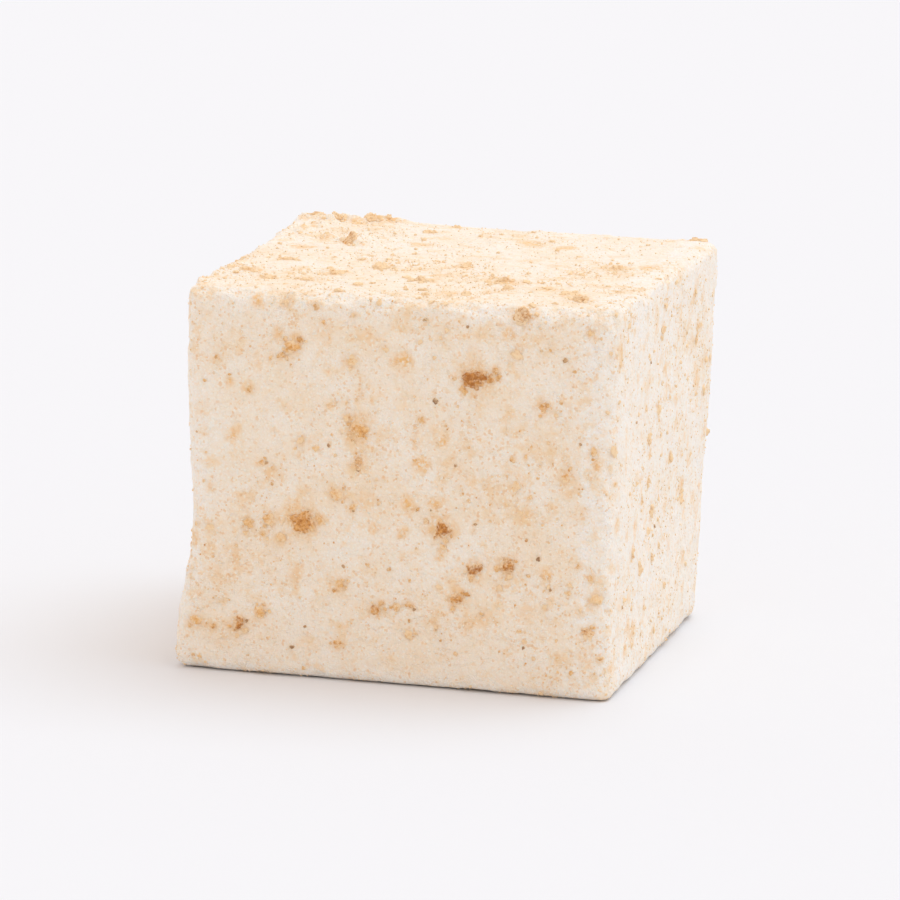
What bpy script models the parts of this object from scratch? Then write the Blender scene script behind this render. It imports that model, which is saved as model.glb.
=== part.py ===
"""A hand-cut marshmallow cube: one soft, slightly uneven block with rounded edges.

Metres, +Z up. +X is the cube's right side, -Y its front. The origin is the middle of the
underside, on the surface that the cube rests on.
"""

import math

import bmesh
import bpy
from mathutils import Vector, noise

MM = 0.001

# Driving dimensions.
WIDTH = 32.0 * MM
DEPTH = 31.0 * MM
HEIGHT = 28.4 * MM
EDGE_RADIUS = 0.9 * MM

# Two edges are worn rounder than the rest: the upright one between the front (-Y) and the right
# side (+X), and the one between the front and the top (+Z). Each is (axis, side, axis, side,
# radius), with x, y and z as 0, 1 and 2.
WORN_EDGES = [
    (0, 1, 1, -1, 2.0 * MM),
    (1, -1, 2, 1, 1.4 * MM),
]

# The grid on each side of the block: SEGMENTS quads each way, of which the outer ROUND_SEGMENTS
# at each end lie on the rounding.
SEGMENTS = 18
ROUND_SEGMENTS = 2

# A knife never cuts a true box, so each corner lies a little off its place: (x, y, z) in
# millimetres.
CORNER_SHIFT_MM = {
    ("left", "front", "top"): (-0.15, 0.0, 0.0),
    ("right", "front", "top"): (0.0, 0.0, 0.2),
    ("left", "back", "top"): (-0.7, 0.0, -0.1),
    ("right", "back", "top"): (0.3, 0.0, 0.3),
    ("left", "front", "bottom"): (0.0, -0.2, 0.0),
    ("right", "front", "bottom"): (0.4, -0.6, 0.0),
    ("left", "back", "bottom"): (0.4, 0.3, 0.0),
    ("right", "back", "bottom"): (-1.0, -0.4, 0.0),
}

# The middle of each side stands out (+) or lies in (-) by this much.
FRONT_CROWN = 0.25 * MM
BACK_CROWN = 0.35 * MM
RIGHT_CROWN = -0.2 * MM
TOP_CROWN = -0.1 * MM

# The top's back left corner is drawn up by the knife.
TOP_RIDGE = 0.5 * MM

# The left side draws in at its waist and spreads into a foot where the cube settled on the
# board. Both are full at the front and fade to LEFT_FORM_AT_BACK of themselves at the back.
WAIST_DEPTH = 0.45 * MM
WAIST_HEIGHT = 11.5 * MM
WAIST_SPREAD = 4.0 * MM
FOOT_FLARE = 0.75 * MM
FOOT_TOP = 9.0 * MM
FOOT_BOTTOM = 2.0 * MM
LEFT_FORM_AT_BACK = 0.35

# The slow unevenness of soft foam: its height and the length of its waves.
WAVE_HEIGHT = 0.16 * MM
WAVE_LENGTH = 7.0 * MM
WAVE_FROM_FLOOR = 4.0 * MM
WAVE_SHIFTS = (Vector((0.0, 0.0, 0.0)), Vector((31.4, 0.0, 5.2)), Vector((7.3, 47.1, 0.0)))

CREAM = (0.93, 0.82, 0.70, 1.0)


def smooth_step(low, high, value):
    """0 at low, 1 at high, with a smooth rise between them."""
    t = min(max((value - low) / (high - low), 0.0), 1.0)
    return t * t * (3.0 - 2.0 * t)


def clear_scene():
    for obj in list(bpy.data.objects):
        bpy.data.objects.remove(obj)


def rounded_box_point(place):
    """Carries a point of the cube from -1 to 1 on to the rounded box of the driving dimensions."""
    flat_share = 1.0 - 2.0 * ROUND_SEGMENTS / SEGMENTS
    halves = (WIDTH / 2, DEPTH / 2, HEIGHT / 2)
    inner = Vector()
    normal = Vector()
    for axis, (at, half) in enumerate(zip(place, halves)):
        turn = max(abs(at) - flat_share, 0.0) / (1.0 - flat_share)
        normal[axis] = math.copysign(math.tan(turn * math.pi / 4), at)
        inner[axis] = (half - EDGE_RADIUS) * max(-1.0, min(1.0, at / flat_share))
    rounded = worn(inner + EDGE_RADIUS * normal.normalized(), halves)
    return rounded + Vector((0.0, 0.0, HEIGHT / 2))


def worn(point, halves):
    """Draws a point of the block about the origin in to the rounder shape of the worn edges."""
    point = point.copy()
    for first, first_side, second, second_side, radius in WORN_EDGES:
        across = radius - (halves[first] - first_side * point[first])
        along = radius - (halves[second] - second_side * point[second])
        outward = math.hypot(across, along)
        if across > 0.0 and along > 0.0 and outward > radius:
            point[first] -= first_side * across * (1.0 - radius / outward)
            point[second] -= second_side * along * (1.0 - radius / outward)
    return point


def corner_shift(place):
    """How far the uneven corners move this point of the cube, blended between all eight."""
    shift = Vector()
    for (side, end, level), moved in CORNER_SHIFT_MM.items():
        x = place.x if side == "right" else -place.x
        y = place.y if end == "back" else -place.y
        z = place.z if level == "top" else -place.z
        share = (1 + x) * (1 + y) * (1 + z) / 8
        shift += Vector(moved) * MM * share
    return shift


def side_form(place, height):
    """The crowns, the ridge on the top, and the left side's waist and foot."""
    across = 1.0 - place.x**2
    along = 1.0 - place.y**2
    upright = 1.0 - place.z**2
    x = RIGHT_CROWN * along * upright * max(place.x, 0.0)
    y = across * upright * (BACK_CROWN * max(place.y, 0.0) - FRONT_CROWN * max(-place.y, 0.0))
    back_left = smooth_step(0.2, -0.9, place.x) * smooth_step(0.1, 0.9, place.y)
    z = (TOP_CROWN * across * along + TOP_RIDGE * back_left) * max(place.z, 0.0)
    leftness = smooth_step(0.2, -1.0, place.x)
    leftness *= 1.0 - (1.0 - LEFT_FORM_AT_BACK) * smooth_step(-0.8, 1.0, place.y)
    waist = WAIST_DEPTH * math.exp(-(((height - WAIST_HEIGHT) / WAIST_SPREAD) ** 2))
    foot = FOOT_FLARE * smooth_step(FOOT_TOP, FOOT_BOTTOM, height)
    return Vector((x + leftness * (waist - foot), y, z))


def waves(point):
    """Slow unevenness in all three directions, which dies away towards the flat underside."""
    lifted = smooth_step(0.0, WAVE_FROM_FLOOR, point.z)
    x, y, z = [WAVE_HEIGHT * noise.noise(point / WAVE_LENGTH + shift) for shift in WAVE_SHIFTS]
    return Vector((x, y, z * lifted))


def marshmallow_mesh():
    shape = bmesh.new()
    bmesh.ops.create_cube(shape, size=2.0)
    bmesh.ops.subdivide_edges(shape, edges=shape.edges[:], cuts=SEGMENTS - 1, use_grid_fill=True)
    for vertex in shape.verts:
        place = vertex.co.copy()
        point = rounded_box_point(place)
        point += corner_shift(place) + side_form(place, point.z)
        vertex.co = point + waves(point)
    set_on_origin(shape)
    mesh = bpy.data.meshes.new("marshmallow")
    shape.to_mesh(mesh)
    shape.free()
    mesh.shade_smooth()
    return mesh


def set_on_origin(shape):
    """Moves the middle of the shape's box, at its underside, to the origin."""
    lows = [min(v.co[axis] for v in shape.verts) for axis in range(3)]
    highs = [max(v.co[axis] for v in shape.verts) for axis in range(3)]
    middle = Vector(((lows[0] + highs[0]) / 2, (lows[1] + highs[1]) / 2, lows[2]))
    bmesh.ops.translate(shape, vec=-middle, verts=shape.verts[:])


def marshmallow_material():
    material = bpy.data.materials.new("dusted_marshmallow")
    material.use_nodes = True
    shader = material.node_tree.nodes["Principled BSDF"]
    shader.inputs["Base Color"].default_value = CREAM
    shader.inputs["Roughness"].default_value = 0.9
    shader.inputs["Metallic"].default_value = 0.0
    return material


def main():
    clear_scene()
    collection = bpy.data.collections.new("marshmallow_cube")
    bpy.context.scene.collection.children.link(collection)
    cube = bpy.data.objects.new("marshmallow", marshmallow_mesh())
    cube.data.materials.append(marshmallow_material())
    collection.objects.link(cube)


main()
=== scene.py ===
"""Looks of a hand-cut marshmallow cube: pale foam dusted with starch and biscuit crumbs.

Metres, +Z up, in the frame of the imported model: +X is the cube's right side, -Y its front.
Relief, crumbs and textures are given in millimetres.
"""

import math

import bmesh
import bpy
import numpy as np
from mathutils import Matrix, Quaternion, Vector, noise
from mathutils.bvhtree import BVHTree


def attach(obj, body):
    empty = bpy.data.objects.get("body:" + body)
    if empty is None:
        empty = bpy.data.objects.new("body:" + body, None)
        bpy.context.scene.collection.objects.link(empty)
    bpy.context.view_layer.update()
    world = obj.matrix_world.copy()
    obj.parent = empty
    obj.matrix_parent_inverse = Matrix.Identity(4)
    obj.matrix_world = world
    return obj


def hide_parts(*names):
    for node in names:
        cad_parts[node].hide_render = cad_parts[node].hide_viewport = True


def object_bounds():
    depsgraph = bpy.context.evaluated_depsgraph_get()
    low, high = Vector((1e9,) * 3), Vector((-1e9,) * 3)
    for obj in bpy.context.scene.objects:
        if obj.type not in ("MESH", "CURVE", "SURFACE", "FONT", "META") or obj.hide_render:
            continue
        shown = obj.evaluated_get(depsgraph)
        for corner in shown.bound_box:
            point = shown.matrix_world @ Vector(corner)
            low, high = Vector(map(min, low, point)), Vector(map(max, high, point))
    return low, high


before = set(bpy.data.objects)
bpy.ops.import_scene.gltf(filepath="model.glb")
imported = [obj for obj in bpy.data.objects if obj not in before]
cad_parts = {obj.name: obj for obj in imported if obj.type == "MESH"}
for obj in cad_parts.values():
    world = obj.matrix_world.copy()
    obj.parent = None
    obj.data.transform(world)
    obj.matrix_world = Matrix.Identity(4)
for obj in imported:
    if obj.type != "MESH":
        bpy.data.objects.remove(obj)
cad_low, cad_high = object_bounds()

MM = 0.001
NODE = "marshmallow"

# The camera's place round the cube, as the photograph sees it. Angles are in degrees, distances in
# metres, and the lens and the sensor's width in millimetres.
VIEW_AZIMUTH = 15.0
VIEW_ELEVATION = 11.5
VIEW_ROLL = 1.2
VIEW_DISTANCE = 0.6
VIEW_LENS = 325.0
VIEW_SENSOR = 36.0
VIEW_NEAR = 0.01
VIEW_FAR = 60.0

# Light: a warm, pale room that meets the floor at the horizon, and a big cool lamp from the top
# right, a little behind. SKY is (height of the direction, colour).
SKY = [
    (0.07, (0.939, 0.922, 0.952, 1.0)),
    (0.16, (0.955, 0.820, 0.725, 1.0)),
    (0.85, (0.845, 0.755, 0.695, 1.0)),
]
LAMP_FROM = (0.28, 0.26, 0.92)
LAMP_COLOUR = (0.83, 1.0, 1.12)
LAMP_STRENGTH = 1.05
LAMP_SPREAD = 50.0
FLOOR_TINT = (0.829, 0.854, 0.901, 1.0)
FLOOR_RADIUS = 25.0
FLOOR_SIDES = 96

# The skin's even mesh, and the least height of its underside above the floor.
SKIN_PITCH_MM = 0.245
SKIN_SMOOTHING = 6
UNDERSIDE_GAP_MM = 0.08

# The skin's unevenness, each as (height, distance between lumps) in millimetres. Below
# EVEN_BELOW_MM it fades to EVEN_SHARE of itself, so that the cube stands level. The clumps and
# lumps also fade between the rough patches, to a share of themselves.
SWELL = (0.07, 5.0)
CLUMPS = (0.075, 1.1)
LUMPS = (0.05, 0.6)
RAGGED_EDGES = [(0.30, 2.1), (0.20, 0.8)]
EVEN_BELOW_MM = 1.2
EVEN_SHARE = 0.25
CALM_CLUMPS = 0.35
CALM_LUMPS = 0.4

# Patterns that come and go over the cube, each as (size in mm, the noise from -1 to 1 at which it
# begins, and at which it is full).
ROUGH_PATCHES = (4.0, -0.35, 0.35)
DRIFTS = (5.0, -0.30, 0.45)
SMALL_DRIFTS = (1.8, -0.35, 0.4)
STREAKS = (2.6, -0.4, 0.4)
RIDGE_SPOTS = (0.8, -0.3, 0.3)

# Where a stretch of the cube begins and where it is full, as shares of its depth from its middle:
# the sparser back of the top, the left of the top, the starched back of the top, and the back of
# the right side, which is barer of starch and of painted light.
SPARSE_BACK = (-0.05, 0.2)
LEFT_OF_TOP = (-0.15, -0.35)
STARCHED_BACK = (-0.1, 0.2)
BARER_BACK = (0.25, 0.3)

# How far a normal turns where a thing begins and where it is full: towards the top, towards the
# right, and away from the nearest side for the ragged relief and for the edges' starch and painted
# highlight. A place belongs to a side where its normal's part towards that side is over OWN_SIDE.
FACES_TOP = (0.5, 0.9)
FACES_RIGHT = (0.4, 0.8)
RAGGED_TURNS = (0.25, 0.62)
STARCH_AND_HIGHLIGHT_TURNS = (0.30, 0.60)
OWN_SIDE = 0.5

# How far the starch and painted highlight along an edge spread on to the flat sides: steps from
# point to point of the skin, how much of it a point hands on at each step, and how strongly it
# still shows there.
EDGE_FADE_STEPS = 26
EDGE_FADE_SHARE = 0.7
EDGE_FADE_GAIN = 2.2

# How thickly the starch lies elsewhere, as shares of the edges' starch and highlight: on the back
# of the top, and on the right side, which is barer at its back; on the right side it is partly
# starch and partly painted light, paler as the side that the lamp lights more. All of it lies in
# streaks, with STREAK_LEAST between them. A strip beside the right side, between two distances
# from it, has it too: a painted highlight where the rounded edge catches the light.
STARCH_ON_TOP = 0.32
STARCH_AND_LIGHT_ON_RIGHT = 0.45
BARER_BACK_LOSS = 0.4
STREAK_LEAST = 0.7
HIGHLIGHT_STRIP_MM = (-3.2, -2.0)

# How thickly crumbs lie: little between the drifts, most on the front half and the left of the top,
# less on its back, and a little less on the right side. A drift thins to DRIFT_LEAST between the
# small drifts in it. At FULL_DRIFT the skin's powder is at its thickest.
THIN_DENSITY = 0.18
FRONT_TOP_DENSITY = 1.15
BACK_TOP_DENSITY = 0.5
RIGHT_DENSITY = 0.85
DRIFT_LEAST = 0.25
FULL_DRIFT = 1.5

# Each kind of loose bit: how many there are, the least and greatest size in millimetres, how flat
# it lies, how deep it sits (0 on the skin, 1 wholly in it), how ragged its shape is, how finely
# it is modelled, how bare of film it is at the least and at the most, and its material.
KINDS = {
    "crumbs_large": {
        "count": 54, "sizes": (0.5, 1.9), "flat": 0.65, "sunk": 0.72, "ragged": 0.30, "detail": 4,
        "bare": (0.7, 1.2), "look": "toasted_crumb",
    },
    "crumbs_medium": {
        "count": 230, "sizes": (0.36, 0.8), "flat": 0.6, "sunk": 0.62, "ragged": 0.42, "detail": 3,
        "bare": (0.2, 1.0), "look": "baked_crumb",
    },
    "crumbs_fine": {
        "count": 1300, "sizes": (0.15, 0.36), "flat": 0.8, "sunk": 0.5, "ragged": 0.42, "detail": 2,
        "bare": (0.2, 1.0), "look": "baked_crumb",
    },
    "crumb_powder": {
        "count": 4500, "sizes": (0.08, 0.17), "flat": 0.9, "sunk": 0.4, "ragged": 0.42, "detail": 1,
        "bare": (0.2, 1.0), "look": "golden_powder",
    },
    "starch_grains": {
        "count": 8000, "sizes": (0.08, 0.18), "flat": 0.9, "sunk": 0.4, "ragged": 0.42, "detail": 1,
        "bare": (0.2, 1.0), "look": "pale_grain",
    },
    "dark_flecks": {
        "count": 60, "sizes": (0.12, 0.26), "flat": 0.6, "sunk": 0.5, "ragged": 0.42, "detail": 2,
        "bare": (0.2, 1.0), "look": "dark_fleck",
    },
}

# Random angles, in radians, and random shifts of a crumb's noise.
FULL_TURN = 6.28
CRUMB_SHIFTS = (0.0, 50.0)

# The shapes of each kind. A unit crumb is a ball cut by flat breaks, with lumps and grains on it.
# Their sizes are in its own unit, and the lumps are as high as the kind is ragged. STRETCH is how
# unequal a crumb's widths are, as a share of how ragged it is.
SHAPES_PER_KIND = 12
BALL_RADIUS = 0.55
FLAT_BREAKS = 8
BREAK_DISTANCES = (0.3, 0.48)
LUMP_SIZE = 0.6
GRAIN_SIZE = 0.25
GRAIN_HEIGHT = 0.25
STRETCH = 0.6

# The least numbers to divide by: a direction's part along a break's, and a crumb's height in mm.
ALMOST_ASIDE = 0.05
ALMOST_FLAT = 1e-4

# How the crumbs lie: how much prouder those on the top stand, how far each one's depth strays, and
# the size from which they keep clear of each other. Small sizes are the commonest, and the more so
# the greater the power of the random share.
TOP_PROUD = 0.06
DEPTH_SPREAD = (-0.12, 0.1)
SPACED_FROM_MM = 0.3
CRUMB_SIZE_POWER = 2.2
GHOST_SIZE_POWER = 2

# A crumb over BIG_FROM_MM is darker, by BIG_CRUMB_TONE of its browns for each millimetre more.
BIG_FROM_MM = 1.0
BIG_CRUMB_TONE = 0.4

# How bare of film the chosen crumbs are, between two sizes in millimetres, and what share of any
# crumb's bareness the dust takes where it faces up or to the right.
CHOSEN_SIZES = (0.8, 1.4)
CHOSEN_BARENESS = (0.8, 1.15)
DUST_ON_TOP = 0.7
DUST_ON_RIGHT = 0.6

# Bits that broke off a big crumb lie round it. Their sizes and distances are shares of its size.
BITS_PER_CRUMB = (3, 8)
BIT_SIZES = (0.16, 0.42)
BIT_DISTANCES = (0.4, 0.95)
BIT_BARENESS = (0.4, 1.0)
BIT_DEPTH = 0.5

# Ghosts are crumbs that lie under the foam's surface and stain it. A halo is the ghost round a
# crumb: its size is a share of the crumb's, and its strength grows with the crumb's bareness.
GHOST_COUNT = 460
GHOST_SIZES_MM = (0.5, 2.4)
GHOST_STRENGTHS = (0.2, 0.7)
CHOSEN_GHOST_STRENGTH = 0.95
HALO_SIZE = 2.1
HALO_LEAST = 0.35
HALO_GAIN = 0.4

# A ghost begins and is full at these distances from its middle, in radii. Its outline wobbles, as
# (height in radii, distance between wobbles in mm).
GHOST_FADE = (1.15, 0.1)
GHOST_WOBBLE = (0.5, 0.7)

# The crumbs and ghosts that stand out on the three sides that show, as (across, up, size in mm).
# Across and up are shares of the side: from the left and from below on the front, from the front
# and from below on the right side, and from the left and from the front on the top.
FRONT_CRUMBS = [
    (0.27, 0.39, 2.1), (0.68, 0.81, 1.9), (0.61, 0.40, 1.5), (0.41, 0.65, 1.3), (0.25, 0.86, 1.3),
    (0.84, 0.74, 0.9), (0.90, 0.56, 0.8), (0.20, 0.39, 0.9), (0.36, 0.47, 0.8), (0.40, 0.44, 0.6),
    (0.41, 0.56, 0.8), (0.18, 0.54, 0.5), (0.77, 0.32, 1.2), (0.69, 0.30, 1.1), (0.37, 0.23, 0.9),
    (0.65, 0.22, 1.0), (0.46, 0.17, 0.9), (0.54, 0.19, 0.6), (0.03, 0.10, 0.9), (0.13, 0.10, 1.2),
    (0.18, 0.14, 0.9), (0.37, 0.07, 0.7), (0.96, 0.15, 0.8), (0.80, 1.00, 0.7), (0.72, 0.81, 0.7),
]
FRONT_GHOSTS = [
    (0.21, 0.89, 1.4), (0.51, 0.84, 2.2), (0.11, 0.61, 1.5), (0.61, 0.63, 1.2), (0.56, 0.57, 1.8),
    (0.53, 0.46, 1.6), (0.59, 0.46, 1.4), (0.45, 0.39, 1.2), (0.52, 0.38, 1.2), (0.76, 0.93, 1.3),
    (0.78, 0.89, 1.0), (0.16, 0.97, 1.5), (0.61, 0.33, 1.2), (0.10, 0.75, 0.9), (0.86, 0.30, 1.4),
]
RIGHT_CRUMBS = [
    (0.07, 0.85, 0.8), (0.32, 0.69, 0.6), (0.36, 0.60, 0.8), (0.46, 0.86, 0.8), (0.37, 0.49, 0.7),
    (0.42, 0.40, 0.9), (0.21, 0.34, 0.8), (0.43, 0.28, 0.6), (0.29, 0.28, 0.8), (0.74, 0.36, 0.9),
    (0.30, 0.45, 0.6), (0.47, 0.92, 0.7), (0.36, 0.16, 0.5), (0.81, 0.80, 0.7),
]
RIGHT_GHOSTS = [
    (0.06, 0.44, 1.4), (0.23, 0.40, 1.8), (0.37, 0.56, 1.5), (0.74, 0.40, 1.8), (0.76, 0.20, 1.6),
    (0.81, 0.66, 2.2), (0.76, 0.90, 2.0), (0.16, 0.10, 1.4), (0.02, 0.60, 1.2), (0.50, 0.75, 1.2),
]
TOP_CRUMBS = [
    (0.35, 0.39, 1.3), (0.28, 0.28, 1.1), (0.49, 0.26, 1.3), (0.67, 0.33, 1.4), (0.53, 0.50, 0.9),
    (0.71, 0.22, 1.0), (0.86, 0.20, 1.0), (0.91, 0.13, 1.2), (0.80, 0.25, 0.8), (0.89, 0.57, 1.0),
    (0.98, 0.98, 1.3), (0.80, 0.02, 1.3), (0.19, 0.67, 1.1), (0.14, 0.18, 0.9), (0.06, 0.25, 0.9),
    (0.11, 0.42, 0.9), (0.09, 0.92, 1.0), (0.17, 0.93, 0.9), (0.03, 0.95, 1.0), (0.23, 0.18, 0.8),
    (0.34, 0.84, 0.7), (0.37, 0.14, 0.8),
]
TOP_GHOSTS = [
    (0.05, 0.93, 2.6), (0.14, 0.90, 2.4), (0.22, 0.94, 2.2), (0.20, 0.68, 2.6), (0.08, 0.26, 2.4),
    (0.14, 0.18, 2.2), (0.28, 0.28, 2.2), (0.36, 0.40, 2.4), (0.50, 0.27, 2.2), (0.68, 0.31, 3.0),
    (0.88, 0.18, 3.2), (0.62, 0.80, 3.0), (0.70, 0.78, 2.4), (0.88, 0.57, 3.2), (0.96, 0.60, 2.0),
    (0.54, 0.46, 2.0), (0.36, 0.70, 2.2), (0.80, 0.24, 2.6), (0.10, 0.60, 2.4), (0.60, 0.12, 2.0),
]

# Dark flecks on the front and the right side, as (across, up, size in mm).
FRONT_FLECKS = [
    (0.26, 0.05, 0.36), (0.84, 0.34, 0.38), (0.89, 0.87, 0.36), (0.56, 0.95, 0.34),
    (0.66, 0.94, 0.28), (0.59, 0.74, 0.42), (0.93, 0.65, 0.34), (0.64, 0.57, 0.30),
    (0.81, 0.10, 0.28), (0.41, 0.54, 0.34), (0.34, 0.60, 0.34), (0.19, 0.54, 0.30),
    (0.40, 0.43, 0.34), (0.38, 0.28, 0.32), (0.29, 0.11, 0.28), (0.15, 0.11, 0.30),
    (0.87, 0.26, 0.26), (0.69, 0.42, 0.26), (0.96, 0.15, 0.34), (0.55, 0.18, 0.30),
]
RIGHT_FLECKS = [(0.22, 0.67, 0.32), (0.46, 0.35, 0.32), (0.34, 0.80, 0.28), (0.12, 0.22, 0.28)]

CHOSEN_CRUMBS = {"front": FRONT_CRUMBS, "right": RIGHT_CRUMBS, "top": TOP_CRUMBS}
CHOSEN_GHOSTS = {"front": FRONT_GHOSTS, "right": RIGHT_GHOSTS, "top": TOP_GHOSTS}
CHOSEN_FLECKS = {"front": FRONT_FLECKS, "right": RIGHT_FLECKS}

# What the rounded edges take off the front, at its left and lower ends and at its other ends, and
# off the top, at its left and right ends.
NEAR_INSET_MM = 0.9
FAR_INSET_MM = 0.4
TOP_INSET_MM = 1.0

# How far outside the cube the search for a named place on its skin begins.
SEARCH_FROM_MM = 5.0

# Rough ridges that the knife drew up near the top's back left corner: (across, up) of both ends.
# RIDGE_MEAN is their even share of RIDGE_HEIGHT_MM, and lumps add to it and take from it. They
# fade out between two depths under the top, and they are stained in spots.
TOP_RIDGES = [
    ((0.01, 0.90), (0.24, 0.95)),
    ((0.12, 0.72), (0.25, 0.64)),
    ((0.04, 0.76), (0.10, 0.96)),
]
RIDGE_HEIGHT_MM = 0.45
RIDGE_WIDTH_MM = 0.9
RIDGE_MEAN = 0.6
RIDGE_LUMP_MM = 0.7
RIDGE_STAIN = 0.95
RIDGE_DEPTHS_MM = (-2.0, -0.8)

# Colours of the skin. FOAM is (place in the patches' noise, colour).
FOAM = [
    (0.36, (0.985, 0.907, 0.812, 1.0)),
    (0.50, (0.980, 0.875, 0.755, 1.0)),
    (0.64, (0.972, 0.832, 0.674, 1.0)),
]
# STARCH_AND_HIGHLIGHT is the pale starch. Along the edges and on the right side it is also a
# painted highlight.
STARCH_AND_HIGHLIGHT = (0.991, 0.956, 0.908, 1.0)
STAIN = (0.950, 0.665, 0.370, 1.0)
POWDER = (0.950, 0.690, 0.420, 1.0)
GHOST = (0.915, 0.560, 0.225, 1.0)
TAN_GRAIN = (0.880, 0.560, 0.280, 1.0)
WHITE_GRAIN = (0.990, 0.945, 0.880, 1.0)
# HOLLOW_SHADE is painted shade for the hollows between the foam's grains.
HOLLOW_SHADE = (0.940, 0.720, 0.500, 1.0)

# Each crumb material: its dark, middle and light brown, which lie at BROWN_PLACES of its mottle.
# FILM_LEAST is how much of the film of foam and starch lies even on its barest places, if any.
BROWN_PLACES = (0.2, 0.5, 0.8)
FILM = (0.965, 0.760, 0.510, 1.0)
CRUMB_BROWNS = {
    "toasted_crumb": [(0.46, 0.18, 0.05), (0.74, 0.37, 0.12), (0.89, 0.55, 0.24)],
    "baked_crumb": [(0.62, 0.31, 0.11), (0.82, 0.48, 0.20), (0.93, 0.64, 0.34)],
    "golden_powder": [(0.80, 0.44, 0.18), (0.90, 0.58, 0.29), (0.95, 0.72, 0.45)],
    "pale_grain": [(0.97, 0.88, 0.76), (0.98, 0.92, 0.83), (0.99, 0.95, 0.88)],
    "dark_fleck": [(0.24, 0.11, 0.05), (0.42, 0.23, 0.11), (0.60, 0.37, 0.19)],
}
FILM_LEAST = {"golden_powder": 0.2, "dark_fleck": 0.1}

# Among the sockets of a Mix node, those of its colour mode: the share, both colours, the result.
MIX_SHARE, MIX_FIRST, MIX_SECOND = 0, 6, 7
MIX_RESULT = 2


def rng_for(name):
    """A random generator of its own for each kind of thing, so that one never disturbs another."""
    seed = sum(ord(letter) * place for place, letter in enumerate(name, start=1))
    return np.random.default_rng(seed)


def smooth_step(low, high, value):
    """0 at low, 1 at high, with a smooth rise between them."""
    t = np.clip((value - low) / (high - low), 0.0, 1.0)
    return t * t * (3.0 - 2.0 * t)


def between(low, high, share):
    """low where share is 0, high where it is 1."""
    return low + (high - low) * share


# ---------------------------------------------------------------- camera, light and floor


def add_camera():
    """Looks at the middle of the cube from the photograph's side, height and tilt."""
    azimuth = math.radians(VIEW_AZIMUTH)
    elevation = math.radians(VIEW_ELEVATION)
    back = Vector((
        math.sin(azimuth) * math.cos(elevation),
        -math.cos(azimuth) * math.cos(elevation),
        math.sin(elevation),
    ))
    data = bpy.data.cameras.new("camera")
    data.sensor_width = VIEW_SENSOR
    data.lens = VIEW_LENS
    data.clip_start = VIEW_NEAR
    data.clip_end = VIEW_FAR
    camera = bpy.data.objects.new("camera", data)
    bpy.context.scene.collection.objects.link(camera)
    camera.location = (cad_low + cad_high) / 2 + back * VIEW_DISTANCE
    roll = Quaternion((0.0, 0.0, 1.0), math.radians(VIEW_ROLL))
    camera.rotation_mode = "QUATERNION"
    camera.rotation_quaternion = (-back).to_track_quat("-Z", "Y") @ roll
    bpy.context.scene.camera = camera


def add_sky():
    """A pale surround that meets the floor at the horizon and dims overhead."""
    world = bpy.data.worlds.new("studio")
    world.use_nodes = True
    tree = world.node_tree
    tree.nodes.clear()
    direction = add_node(tree, "TexCoord").outputs["Generated"]
    height = add_node(tree, "SeparateXYZ", {"Vector": direction}).outputs["Z"]
    background = add_node(tree, "Background", {"Color": add_ramp(tree, height, SKY)})
    output = add_node(tree, "OutputWorld")
    tree.links.new(background.outputs[0], output.inputs["Surface"])
    bpy.context.scene.world = world


def add_lamp():
    """The big soft lamp from the top right."""
    data = bpy.data.lights.new("soft_lamp", "SUN")
    data.energy = LAMP_STRENGTH
    data.angle = math.radians(LAMP_SPREAD)
    data.color = LAMP_COLOUR
    lamp = bpy.data.objects.new("soft_lamp", data)
    bpy.context.scene.collection.objects.link(lamp)
    lamp.rotation_mode = "QUATERNION"
    lamp.rotation_quaternion = Vector(LAMP_FROM).to_track_quat("Z", "Y")


def add_floor():
    """A seamless pale floor that runs out past the camera's sight."""
    shape = bmesh.new()
    bmesh.ops.create_circle(shape, cap_ends=True, segments=FLOOR_SIDES, radius=FLOOR_RADIUS)
    mesh = bpy.data.meshes.new("floor")
    shape.to_mesh(mesh)
    shape.free()
    floor = bpy.data.objects.new("floor", mesh)
    bpy.context.scene.collection.objects.link(floor)
    material = bpy.data.materials.new("pale_floor")
    material.use_nodes = True
    shader = material.node_tree.nodes["Principled BSDF"]
    shader.inputs["Base Color"].default_value = FLOOR_TINT
    shader.inputs["Roughness"].default_value = 1.0
    shader.inputs["Specular IOR Level"].default_value = 0.0
    mesh.materials.append(material)


# ---------------------------------------------------------------- shader helpers


def plug(tree, socket, value):
    """Feeds an input with another node's output, or with a plain value."""
    if isinstance(value, bpy.types.NodeSocket):
        tree.links.new(value, socket)
    else:
        socket.default_value = value


def add_node(tree, kind, inputs=None, **settings):
    """Adds a shader node. Its inputs are given by name or by place."""
    node = tree.nodes.new("ShaderNode" + kind)
    for name, value in settings.items():
        setattr(node, name, value)
    for name, value in (inputs or {}).items():
        plug(tree, node.inputs[name], value)
    return node


def add_ramp(tree, factor, stops):
    """A colour ramp through (place, colour) stops, as its colour output."""
    node = add_node(tree, "ValToRGB", {"Fac": factor})
    elements = node.color_ramp.elements
    elements[0].position, elements[0].color = stops[0]
    elements[1].position, elements[1].color = stops[-1]
    for place, colour in stops[1:-1]:
        elements.new(place).color = colour
    return node.outputs["Color"]


def blend_colours(tree, share, first, second):
    """first where share is 0, second where it is 1."""
    inputs = {MIX_SHARE: share, MIX_FIRST: first, MIX_SECOND: second}
    return add_node(tree, "Mix", inputs, data_type="RGBA", clamp_factor=True).outputs[MIX_RESULT]


def multiply(tree, first, second):
    """The product of two numbers."""
    return add_node(tree, "Math", {0: first, 1: second}, operation="MULTIPLY").outputs[0]


def multiply_add(tree, value, factor, added):
    """value times factor, and then a number added."""
    inputs = {0: value, 1: factor, 2: added}
    return add_node(tree, "Math", inputs, operation="MULTIPLY_ADD").outputs[0]


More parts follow.
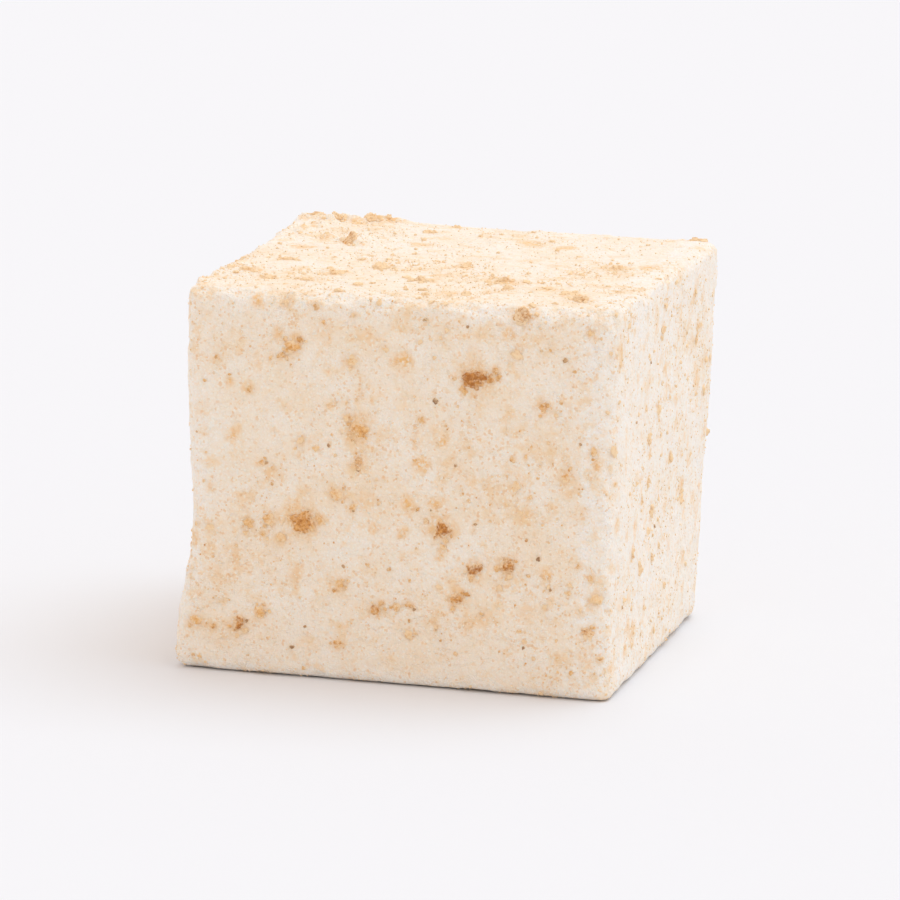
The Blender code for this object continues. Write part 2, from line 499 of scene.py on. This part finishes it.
def remap(tree, value, low, high, out_low=0.0, out_high=1.0):
    """Carries low..high smoothly to out_low..out_high and holds it outside."""
    inputs = {
        "Value": value, "From Min": low, "From Max": high, "To Min": out_low, "To Max": out_high,
    }
    return add_node(tree, "MapRange", inputs, interpolation_type="SMOOTHSTEP").outputs["Result"]


def moved(tree, place, shift):
    """The same places, shifted so that two noises of one size don't match."""
    inputs = {0: place, 1: (shift, -shift, 0.5 * shift)}
    return add_node(tree, "VectorMath", inputs).outputs["Vector"]


def millimetre_noise(tree, place, size_mm, detail=2.0, roughness=0.5, shift=0.0):
    """Noise whose lumps are about size_mm across, from 0 to 1 about 0.5."""
    node = add_node(tree, "TexNoise", {
        "Vector": moved(tree, place, shift),
        "Scale": 1.0 / size_mm,
        "Detail": detail,
        "Roughness": roughness,
    })
    return node.outputs["Fac"]


def granules(tree, place, size_mm, shift=0.0):
    """Packed grains size_mm across: how high each place stands in its grain, and two random
    numbers that are the same all over a grain."""
    inputs = {"Vector": moved(tree, place, shift), "Scale": 1.0 / size_mm}
    node = add_node(tree, "TexVoronoi", inputs)
    height = remap(tree, node.outputs["Distance"], 0.75, 0.0)
    chances = add_node(tree, "SeparateColor", {"Color": node.outputs["Color"]})
    return height, chances.outputs["Red"], chances.outputs["Green"]


def add_bump(tree, height, distance_mm, under=None):
    """The normal of a relief distance_mm high, on top of the one under it."""
    inputs = {"Height": height, "Strength": 1.0, "Distance": distance_mm * MM}
    if under is not None:
        inputs["Normal"] = under
    return add_node(tree, "Bump", inputs).outputs["Normal"]


def millimetre_place(tree):
    """The place on the piece, in millimetres."""
    place = add_node(tree, "TexCoord").outputs["Object"]
    inputs = {0: place, "Scale": 1.0 / MM}
    return add_node(tree, "VectorMath", inputs, operation="SCALE").outputs["Vector"]


def attribute(tree, name):
    """A number that the mesh carries at each point."""
    return add_node(tree, "Attribute", attribute_name=name).outputs["Fac"]


def new_material(name):
    """A material with only its Principled shader and output, and its tree and that shader."""
    material = bpy.data.materials.new(name)
    material.use_nodes = True
    return material, material.node_tree, material.node_tree.nodes["Principled BSDF"]


# ---------------------------------------------------------------- skin


def even_mesh(source, name):
    """A copy of the solid as an even, smoothed mesh of small quads."""
    piece = bpy.data.objects.new(name, source.data.copy())
    bpy.context.scene.collection.objects.link(piece)
    remesh = piece.modifiers.new("Even quads", "REMESH")
    remesh.mode = "VOXEL"
    remesh.voxel_size = SKIN_PITCH_MM * MM
    smooth = piece.modifiers.new("Soft facets", "SMOOTH")
    smooth.factor = 0.5
    smooth.iterations = SKIN_SMOOTHING
    evaluated = piece.evaluated_get(bpy.context.evaluated_depsgraph_get())
    mesh = bpy.data.meshes.new_from_object(evaluated)
    piece.modifiers.clear()
    piece.data = mesh
    mesh.name = name
    mesh.materials.clear()
    return piece


def read_rows(items, name, width):
    """A property of all points or faces, as one row of numbers for each."""
    values = np.empty(len(items) * width, np.float32)
    items.foreach_get(name, values)
    return values.reshape(-1, width).astype(float)


def points_and_normals(mesh):
    """Every point of a mesh, in metres, and the normal there."""
    return read_rows(mesh.vertices, "co", 3), read_rows(mesh.vertices, "normal", 3)


def noise_at(places, size_mm, shift):
    """Noise from -1 to 1 with lumps about size_mm across, at each place (an array in millimetres).
    Another shift gives another pattern."""
    offset = Vector((shift, 2.7 * shift, -1.3 * shift))
    return np.array([noise.noise(Vector(place) / size_mm + offset) for place in places])


def pattern(form, places, shift):
    """How far a pattern has come in at each place, from 0 to 1, given as (size in mm, the noise at
    which it begins, and at which it is full)."""
    size_mm, start, full = form
    return smooth_step(start, full, noise_at(places, size_mm, shift))


def stretch_of(band, places):
    """How far a stretch of the cube has begun at each place, from 0 to 1, given as shares of the
    cube's depth."""
    depth = (cad_high[1] - cad_low[1]) / MM
    start, full = band
    return smooth_step(start * depth, full * depth, places)


def relief(form, places, shift):
    """One kind of unevenness at each place, given as (height, distance between lumps in mm)."""
    height, distance = form
    return height * noise_at(places, distance, shift)


def turned_amounts(normals):
    """How far each normal turns from the nearest of the cube's sides: 0 on a flat side and about
    0.7 on an edge."""
    return np.sort(np.abs(normals), axis=1)[:, 1]


def skin_relief(places, normals):
    """How far the dusted foam stands out (+) or lies in (-) at each place, in millimetres."""
    patchy = pattern(ROUGH_PATCHES, places, shift=11.0)
    swell = relief(SWELL, places, shift=1.0)
    clumps = between(CALM_CLUMPS, 1.0, patchy) * relief(CLUMPS, places, shift=2.0)
    lumps = between(CALM_LUMPS, 1.0, patchy) * relief(LUMPS, places, shift=3.0)
    edge = smooth_step(*RAGGED_TURNS, turned_amounts(normals))
    wide, narrow = RAGGED_EDGES
    ragged = edge * (relief(wide, places, shift=5.0) + relief(narrow, places, shift=6.0))
    rough = RIDGE_MEAN + noise_at(places, RIDGE_LUMP_MM, shift=7.0)
    return swell + clumps + lumps + ragged + RIDGE_HEIGHT_MM * ridge_amounts(places) * rough


def ridge_amounts(places):
    """1 along the top's rough ridges, fading to 0 beside them."""
    amount = np.zeros(len(places))
    for first, last in TOP_RIDGES:
        start, along = top_place(first), top_place(last) - top_place(first)
        share = np.clip((places[:, :2] - start) @ along / (along @ along), 0.0, 1.0)
        distance = np.linalg.norm(places[:, :2] - start - share[:, None] * along, axis=1)
        amount = np.maximum(amount, np.exp(-((2.0 * distance / RIDGE_WIDTH_MM) ** 2)))
    near_top = smooth_step(*RIDGE_DEPTHS_MM, places[:, 2] - cad_high[2] / MM)
    return amount * near_top


def top_place(shares):
    """The place in millimetres of (across, up) shares on the top."""
    across, up = shares
    low = np.array(cad_low) / MM
    high = np.array(cad_high) / MM
    x = between(low[0] + TOP_INSET_MM, high[0] - TOP_INSET_MM, across)
    return np.array([x, between(low[1], high[1], up)])


def make_skin():
    """The foam's surface with its dusting, in place of the plain solid."""
    piece = even_mesh(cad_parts[NODE], "marshmallow_skin")
    mesh = piece.data
    points, normals = points_and_normals(mesh)
    outward = skin_relief(points / MM, normals) * MM
    lifted = smooth_step(0.0, EVEN_BELOW_MM * MM, points[:, 2])
    points += normals * (outward * between(EVEN_SHARE, 1.0, lifted))[:, None]
    floor_gap = UNDERSIDE_GAP_MM * MM + np.abs(outward)
    points[:, 2] = np.where(points[:, 2] < floor_gap, floor_gap, points[:, 2])
    mesh.vertices.foreach_set("co", points.astype(np.float32).ravel())
    mesh.update()
    mesh.shade_smooth()
    return piece


# ---------------------------------------------------------------- crumbs


def random_turn(rng):
    """Any angle, in radians."""
    return rng.uniform(0.0, FULL_TURN)


def random_directions(rng, count):
    """Directions spread evenly all round."""
    directions = rng.normal(size=(count, 3))
    return directions / np.linalg.norm(directions, axis=1)[:, None]


def crumb_shape(rng, kind):
    """A unit crumb, about 1 across: a ball cut by flat breaks and covered in lumps and grains.
    Returns its points and its faces."""
    shape = bmesh.new()
    bmesh.ops.create_icosphere(shape, subdivisions=kind["detail"], radius=1.0)
    directions = np.array([vertex.co.normalized() for vertex in shape.verts])
    faces = np.array([[vertex.index for vertex in face.verts] for face in shape.faces])
    shape.free()
    radius = np.full(len(directions), BALL_RADIUS)
    for cut in random_directions(rng, FLAT_BREAKS):
        along = np.maximum(directions @ cut, ALMOST_ASIDE)
        radius = np.minimum(radius, rng.uniform(*BREAK_DISTANCES) / along)
    shift = rng.uniform(*CRUMB_SHIFTS)
    lumps = kind["ragged"] * noise_at(directions, LUMP_SIZE, shift)
    grains = GRAIN_HEIGHT * noise_at(directions, GRAIN_SIZE, shift)
    radius *= 1.0 + lumps + grains
    return directions * radius[:, None], faces


def basis_for(normal, turn):
    """A rotation that carries +Z to the normal, turned about it."""
    upright = Vector(normal).to_track_quat("Z", "Y")
    return np.array((upright @ Quaternion((0.0, 0.0, 1.0), turn)).to_matrix())


def placed_crumb(rng, shapes, kind, spot):
    """One crumb of a kind, tumbled and set in its spot: its points in millimetres, its faces, and
    how bare of film each point is."""
    place, normal, size, sunk, bare = spot
    points, faces = shapes[rng.integers(SHAPES_PER_KIND)]
    axis = Vector(random_directions(rng, 1)[0])
    tumble = np.array(Quaternion(axis, random_turn(rng)).to_matrix())
    uneven = STRETCH * kind["ragged"]
    stretch = rng.uniform(1.0 - uneven, 1.0 + uneven, size=3)
    crumb = (points * stretch) @ tumble.T * (1.0, 1.0, kind["flat"]) * size
    crumb[:, 2] += size * kind["flat"] * (0.5 - sunk)
    rise = np.clip(crumb[:, 2] / max(crumb[:, 2].max(), ALMOST_FLAT), 0.0, 1.0)
    crumb = crumb @ basis_for(normal, random_turn(rng)).T + place
    crumb[:, 2] = np.maximum(crumb[:, 2], 0.0)
    return crumb, faces, bare * np.sqrt(rise)


def crumb_shade(rng, size):
    """How light a crumb's brown is, from 0 up: any shade of its kind, but a big crumb is darker."""
    shade = rng.random() - BIG_CRUMB_TONE * max(size - BIG_FROM_MM, 0.0)
    return max(shade, 0.0)


def crumbs_mesh(name, spots, kind, rng):
    """All crumbs of one kind as one mesh.

    A spot is (place in mm, normal, size in mm, depth, bareness)."""
    shapes = [crumb_shape(rng, kind) for _ in range(SHAPES_PER_KIND)]
    points = []
    faces = []
    shades = []
    bares = []
    first = 0
    for spot in spots:
        crumb, crumb_faces, bare = placed_crumb(rng, shapes, kind, spot)
        points.append(crumb)
        faces.append(crumb_faces + first)
        shades.append(np.full(len(crumb), crumb_shade(rng, size=spot[2])))
        bares.append(bare)
        first += len(crumb)
    mesh = bpy.data.meshes.new(name)
    mesh.from_pydata(np.concatenate(points) * MM, [], np.concatenate(faces).tolist())
    set_attribute(mesh, "shade", np.concatenate(shades))
    set_attribute(mesh, "bare", np.concatenate(bares))
    mesh.shade_smooth()
    return mesh


def face_samples(mesh):
    """The middle in millimetres, the normal and the area of each face of the skin."""
    centres = read_rows(mesh.polygons, "center", 3) / MM
    normals = read_rows(mesh.polygons, "normal", 3)
    areas = read_rows(mesh.polygons, "area", 1).ravel()
    return centres, normals, areas


def crumb_density(places, normals):
    """How thickly crumbs lie: in drifts on every side, and most on the front half of the top."""
    drifts = pattern(DRIFTS, places, shift=21.0)
    small_drifts = pattern(SMALL_DRIFTS, places, shift=22.0)
    top = smooth_step(*FACES_TOP, normals[:, 2])
    sparse = stretch_of(SPARSE_BACK, places[:, 1]) * (1.0 - stretch_of(LEFT_OF_TOP, places[:, 0]))
    on_top = between(FRONT_TOP_DENSITY, BACK_TOP_DENSITY, sparse)
    on_right = between(1.0, RIGHT_DENSITY, smooth_step(*FACES_RIGHT, normals[:, 0]))
    drifted = THIN_DENSITY + drifts * between(DRIFT_LEAST, 1.0, small_drifts)
    return drifted * (on_right - top + top * on_top)


def unnamed_sides(normals):
    """1 on the back, the left side and the underside, where no crumb has a place of its own."""
    back = normals[:, 1] > OWN_SIDE
    left = normals[:, 0] < -OWN_SIDE
    underside = normals[:, 2] < -OWN_SIDE
    return (back | left | underside).astype(float)


def starch_and_highlight_amounts(mesh, places, normals):
    """Where the pale starch and painted highlight lie thickest: along the edges, most of all the
    right ones, where the rounding catches the light, then on the right side, which is partly
    painted light, and on the back of the top."""
    streaks = between(STREAK_LEAST, 1.0, pattern(STREAKS, places, shift=41.0))
    top = smooth_step(*FACES_TOP, normals[:, 2]) * stretch_of(STARCHED_BACK, places[:, 1])
    # Partly painted light: the right side, which the lamp lights more, is paler.
    right = smooth_step(*FACES_RIGHT, normals[:, 0])
    right *= 1.0 - BARER_BACK_LOSS * stretch_of(BARER_BACK, places[:, 1])
    # Painted highlight: a strip along the right side, where the rounded edge catches the light.
    highlight_strip = smooth_step(*HIGHLIGHT_STRIP_MM, places[:, 0] - cad_high[0] / MM)
    amounts = [edge_amounts(mesh, normals), STARCH_ON_TOP * top, STARCH_AND_LIGHT_ON_RIGHT * right, highlight_strip]
    return streaks * np.maximum.reduce(amounts)


def sunk_depth(kind, normal):
    """How deep a kind's crumbs sit: those on the top stand a little prouder."""
    return kind["sunk"] - TOP_PROUD * max(normal[2], 0.0)


def dusted(normal):
    """How bare a crumb stays: dust settles on what faces up, and the starch on the right side."""
    return 1.0 - DUST_ON_TOP * max(normal[2], 0.0) - DUST_ON_RIGHT * max(normal[0], 0.0)


def beside(rng, place, normal):
    """A place up to half a quad away on the skin, so that crumbs don't lie in the quads' rows."""
    away = rng.uniform(-0.5, 0.5, size=3) * SKIN_PITCH_MM
    return place + away - normal * (normal @ away)


def is_taken(place, size, taken):
    """Whether a crumb would lie too near to one of those in taken, each as (place, size)."""
    return any(np.abs(place - other).max() < (size + width) / 2 for other, width in taken)


def random_spots(rng, kind, samples, density, taken):
    """Places for a kind's crumbs, thicker where the density is high and clear of those taken."""
    centres, normals, areas = samples
    chance = areas * density
    tries = 2 * kind["count"]
    picks = rng.choice(len(centres), size=tries, p=chance / chance.sum(), replace=False)
    spots = []
    for pick in picks:
        size = between(*kind["sizes"], rng.random() ** CRUMB_SIZE_POWER)
        place = beside(rng, centres[pick], normals[pick])
        spaced = size > SPACED_FROM_MM
        if spaced and is_taken(place, size, taken):
            continue
        depth = sunk_depth(kind, normals[pick]) + rng.uniform(*DEPTH_SPREAD)
        bare = rng.uniform(*kind["bare"]) * dusted(normals[pick])
        spots.append((place, normals[pick], size, depth, bare))
        if spaced:
            taken.append((place, size))
        if len(spots) == kind["count"]:
            break
    return spots


def inset(low, high, share):
    """The place of a share between a side's two rounded edges, which take a little off each end."""
    return between(low + NEAR_INSET_MM, high - FAR_INSET_MM, share)


def side_spots(tree, side, crumbs):
    """The named places on one side, dropped on to the skin: (place in mm, normal, size in mm)."""
    low = np.array(cad_low) / MM
    high = np.array(cad_high) / MM
    spots = []
    for across, up, size in crumbs:
        if side == "front":
            x = inset(low[0], high[0], across)
            start = (x, low[1] - SEARCH_FROM_MM, inset(low[2], high[2], up))
            aim = (0.0, 1.0, 0.0)
        elif side == "right":
            start = (high[0] + SEARCH_FROM_MM, between(low[1], high[1], across), up * high[2])
            aim = (-1.0, 0.0, 0.0)
        else:
            start = (*top_place((across, up)), high[2] + SEARCH_FROM_MM)
            aim = (0.0, 0.0, -1.0)
        hit, normal, _, _ = tree.ray_cast(Vector(start) * MM, Vector(aim))
        if hit is not None:
            spots.append((np.array(hit) / MM, np.array(normal), size))
    return spots


def chosen_spots(tree, chosen):
    """The named places on every side, in the order of the sides in chosen."""
    return [spot for side, marks in chosen.items() for spot in side_spots(tree, side, marks)]


# ---------------------------------------------------------------- materials


def dusted_and_highlit_colour(tree, place):
    """The foam's cream in patches, paler where the starch lies on it and where a highlight is
    painted along the edges and on the right side.
    """
    patches = millimetre_noise(tree, place, size_mm=4.0, detail=3.0, roughness=0.55)
    mottle = millimetre_noise(tree, place, size_mm=0.9, detail=3.0, roughness=0.65, shift=17.0)
    # The starch's pale colour is also a painted highlight along the edges and on the right side.
    cover = remap(tree, mottle, 0.36, 0.56, out_low=0.55)
    starch_and_highlight_share = multiply(tree, attribute(tree, "starch"), cover)
    return blend_colours(tree, starch_and_highlight_share, add_ramp(tree, patches, FOAM), STARCH_AND_HIGHLIGHT)


def powdered_colour(tree, place, colour, drift, powder):
    """Golden stains and powder, thickest where the crumbs lie in drifts."""
    stain = millimetre_noise(tree, place, size_mm=1.7, detail=4.0, roughness=0.65, shift=23.0)
    stained = remap(tree, multiply_add(tree, drift, 0.08, stain), 0.54, 0.72, out_high=0.6)
    colour = blend_colours(tree, stained, colour, STAIN)
    powdered = remap(tree, multiply_add(tree, drift, 0.12, powder), 0.56, 0.76, out_high=0.5)
    return blend_colours(tree, powdered, colour, POWDER)


def ghosted_colour(tree, colour, mottle):
    """Brown spots where crumbs show through from under the surface."""
    cover = remap(tree, mottle, 0.34, 0.60, out_low=0.35)
    ghosted = multiply(tree, attribute(tree, "ghost"), cover)
    return blend_colours(tree, ghosted, colour, GHOST)


def grains_and_hollow_shade_colour(tree, colour, drift, grains):
    """Some tan and some white grains, and painted shade in the hollows between all grains."""
    height, kind, tone = grains
    tan = remap(tree, multiply_add(tree, drift, 0.10, kind), 0.93, 1.02, out_high=0.55)
    colour = blend_colours(tree, tan, colour, TAN_GRAIN)
    white = remap(tree, tone, 0.80, 0.97, out_high=0.5)
    colour = blend_colours(tree, white, colour, WHITE_GRAIN)
    # Painted shade: darker where a grain's height is low, in the hollows.
    hollow_shade = remap(tree, height, 0.40, 0.0, out_high=0.22)
    return blend_colours(tree, hollow_shade, colour, HOLLOW_SHADE)


def marshmallow_material():
    """Cream foam under starch and biscuit powder, with crumbs that show through it, a painted
    highlight along the edges and on the right side, and painted shade between the grains.
    """
    material, tree, shader = new_material("dusted_marshmallow")
    place = millimetre_place(tree)
    drift = attribute(tree, "drift")
    powder = millimetre_noise(tree, place, size_mm=0.7, detail=3.0, roughness=0.65, shift=3.0)
    mottle = millimetre_noise(tree, place, size_mm=0.35, detail=3.0, roughness=0.6, shift=8.0)
    grains = granules(tree, place, size_mm=0.17)

    colour = dusted_and_highlit_colour(tree, place)
    colour = powdered_colour(tree, place, colour, drift, powder)
    colour = ghosted_colour(tree, colour, mottle)
    colour = grains_and_hollow_shade_colour(tree, colour, drift, grains)
    tree.links.new(colour, shader.inputs["Base Color"])

    fine = add_bump(tree, grains[0], distance_mm=0.035)
    medium = add_bump(tree, mottle, distance_mm=0.11, under=fine)
    coarse = add_bump(tree, powder, distance_mm=0.22, under=medium)
    tree.links.new(coarse, shader.inputs["Normal"])
    shader.inputs["Roughness"].default_value = 0.92
    shader.inputs["Specular IOR Level"].default_value = 0.25
    shader.inputs["Subsurface Weight"].default_value = 0.3
    shader.inputs["Subsurface Radius"].default_value = (1.0, 0.85, 0.7)
    shader.inputs["Subsurface Scale"].default_value = 0.6 * MM
    return material


def crumb_material(name):
    """Dry baked crumb: one brown for each crumb, mottled and pitted, with a film of foam and starch
    that is thickest where the crumb meets the skin."""
    material, tree, shader = new_material(name)
    place = millimetre_place(tree)
    mottle = millimetre_noise(tree, place, size_mm=0.3, detail=4.0, roughness=0.65, shift=12.0)
    shade = multiply_add(tree, attribute(tree, "shade"), 0.5, -0.5)
    shade = multiply_add(tree, mottle, 1.5, shade)
    stops = [(at, (*brown, 1.0)) for at, brown in zip(BROWN_PLACES, CRUMB_BROWNS[name])]
    colour = add_ramp(tree, shade, stops)
    dust = millimetre_noise(tree, place, size_mm=0.2, detail=3.0, roughness=0.6, shift=14.0)
    covered = multiply_add(tree, attribute(tree, "bare"), -0.5, dust)
    least = FILM_LEAST.get(name, 0.0)
    film_share = remap(tree, covered, -0.02, 0.46, out_low=least, out_high=0.95)
    colour = blend_colours(tree, film_share, colour, FILM)
    tree.links.new(colour, shader.inputs["Base Color"])
    tree.links.new(add_bump(tree, dust, distance_mm=0.07), shader.inputs["Normal"])
    shader.inputs["Roughness"].default_value = 0.9
    shader.inputs["Specular IOR Level"].default_value = 0.1
    return material


# ---------------------------------------------------------------- pieces and marks on the skin


def ghost_amounts(places, spots):
    """How strongly sunken crumbs show through the skin at each place, from 0 to 1."""
    amount = np.zeros(len(places))
    wobble = relief(GHOST_WOBBLE, places, shift=31.0)
    for spot, size, strength in spots:
        near = np.flatnonzero(np.abs(places - spot).max(axis=1) < size)
        distance = np.linalg.norm(places[near] - spot, axis=1) / (size / 2) + wobble[near]
        amount[near] = np.maximum(amount[near], strength * smooth_step(*GHOST_FADE, distance))
    return amount


def edge_amounts(mesh, normals):
    """1 along the cube's edges, fading to 0 about a millimetre away on the flat sides."""
    amount = smooth_step(*STARCH_AND_HIGHLIGHT_TURNS, turned_amounts(normals))
    ends = np.empty(len(mesh.edges) * 2, np.int32)
    mesh.edges.foreach_get("vertices", ends)
    first, second = ends.reshape(-1, 2).T
    neighbours = np.bincount(ends, minlength=len(amount))
    for _ in range(EDGE_FADE_STEPS):
        total = np.bincount(first, amount[second], len(amount))
        total += np.bincount(second, amount[first], len(amount))
        amount = between(amount, total / neighbours, EDGE_FADE_SHARE)
    return np.clip(amount * EDGE_FADE_GAIN, 0.0, 1.0)


def set_attribute(mesh, name, values):
    """Keeps a number for each point of the mesh, for its material to read."""
    kept = mesh.attributes.new(name, "FLOAT", "POINT")
    kept.data.foreach_set("value", values.astype(np.float32))


def broken_bits(tree, spots):
    """Bits that broke off each big crumb and lie round it, as spots for crumbs_mesh()."""
    rng = rng_for("broken_bits")
    bits = []
    for place, normal, size, _, _ in spots:
        turn = basis_for(normal, random_turn(rng))
        for _ in range(rng.integers(*BITS_PER_CRUMB)):
            angle = random_turn(rng)
            away = size * rng.uniform(*BIT_DISTANCES)
            target = place + turn @ (away * math.cos(angle), away * math.sin(angle), 0.0)
            near, near_normal, _, _ = tree.find_nearest(Vector(target) * MM)
            bit_size = size * rng.uniform(*BIT_SIZES)
            bare = rng.uniform(*BIT_BARENESS) * dusted(near_normal)
            bits.append((np.array(near) / MM, np.array(near_normal), bit_size, BIT_DEPTH, bare))
    return bits


def chosen_bareness(size):
    """How bare of film a chosen crumb is: the big ones most."""
    return np.interp(size, CHOSEN_SIZES, CHOSEN_BARENESS)


def crumb_spots(name, tree, samples, density, taken):
    """The spots of a kind's crumbs, but for broken bits: the random ones, then the chosen ones."""
    kind = KINDS[name]
    rng = rng_for(name)
    if name == "crumbs_large":
        density = density * unnamed_sides(samples[1])
    spots = random_spots(rng, kind, samples, density, taken)
    if name == "crumbs_large":
        spots += [
            (place, normal, size, sunk_depth(kind, normal), chosen_bareness(size) * dusted(normal))
            for place, normal, size in chosen_spots(tree, CHOSEN_CRUMBS)
        ]
    if name == "dark_flecks":
        spots += [
            (place, normal, size, kind["sunk"], 1.0)
            for place, normal, size in chosen_spots(tree, CHOSEN_FLECKS)
        ]
    return spots, rng


def add_piece(name, spots, rng):
    """Makes the piece that holds all crumbs of one kind."""
    kind = KINDS[name]
    mesh = crumbs_mesh(name, spots, kind, rng)
    mesh.materials.append(bpy.data.materials.get(kind["look"]) or crumb_material(kind["look"]))
    piece = bpy.data.objects.new(name, mesh)
    bpy.context.scene.collection.objects.link(piece)
    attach(piece, "root")


def add_crumbs(skin):
    """Scatters every kind of crumb over the skin. Returns the ghosts that they cast on it, each as
    (place in mm, size in mm, strength)."""
    samples = face_samples(skin.data)
    density = crumb_density(samples[0], samples[1])
    tree = BVHTree.FromPolygons(
        [vertex.co for vertex in skin.data.vertices], [face.vertices for face in skin.data.polygons]
    )
    taken = [(place, size) for place, _, size in chosen_spots(tree, CHOSEN_CRUMBS)]
    ghosts = [
        (place, size, CHOSEN_GHOST_STRENGTH) for place, _, size in chosen_spots(tree, CHOSEN_GHOSTS)
    ]
    bits = []
    for name, kind in KINDS.items():
        spots, rng = crumb_spots(name, tree, samples, density, taken)
        if name == "crumbs_large":
            bits = broken_bits(tree, spots)
        if name in ("crumbs_medium", "crumbs_fine"):
            low, high = kind["sizes"]
            spots += [bit for bit in bits if low < bit[2] <= high]
        add_piece(name, spots, rng)
        if name in ("crumbs_large", "crumbs_medium"):
            ghosts += [
                (place, size * HALO_SIZE, HALO_LEAST + HALO_GAIN * bare)
                for place, _, size, _, bare in spots
            ]
    return ghosts + random_ghosts(samples, density)


def random_ghosts(samples, density):
    """Ghosts scattered as the crumbs are: (place in mm, size in mm, strength)."""
    rng = rng_for("ghosts")
    centres, _, areas = samples
    chance = areas * density
    picks = rng.choice(len(centres), size=GHOST_COUNT, p=chance / chance.sum(), replace=False)
    return [
        (
            centres[pick],
            between(*GHOST_SIZES_MM, rng.random() ** GHOST_SIZE_POWER),
            rng.uniform(*GHOST_STRENGTHS),
        )
        for pick in picks
    ]


def mark_skin(skin, ghosts):
    """Tells the skin's material where ghosts, ridges, starch with its painted highlight, and drifts
    of powder lie.
    """
    places, normals = points_and_normals(skin.data)
    places /= MM
    ridges = RIDGE_STAIN * ridge_amounts(places) * pattern(RIDGE_SPOTS, places, shift=43.0)
    drift = np.clip(crumb_density(places, normals) / FULL_DRIFT, 0.0, 1.0)
    set_attribute(skin.data, "ghost", np.maximum(ghost_amounts(places, ghosts), ridges))
    set_attribute(skin.data, "starch", starch_and_highlight_amounts(skin.data, places, normals))
    set_attribute(skin.data, "drift", drift)


# ---------------------------------------------------------------- the whole


def main():
    """Builds the whole scene."""
    bpy.context.scene.view_settings.view_transform = "Standard"
    add_camera()
    add_sky()
    add_lamp()
    add_floor()
    skin = make_skin()
    skin.data.materials.append(marshmallow_material())
    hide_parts(NODE)
    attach(skin, "root")
    mark_skin(skin, add_crumbs(skin))


main()
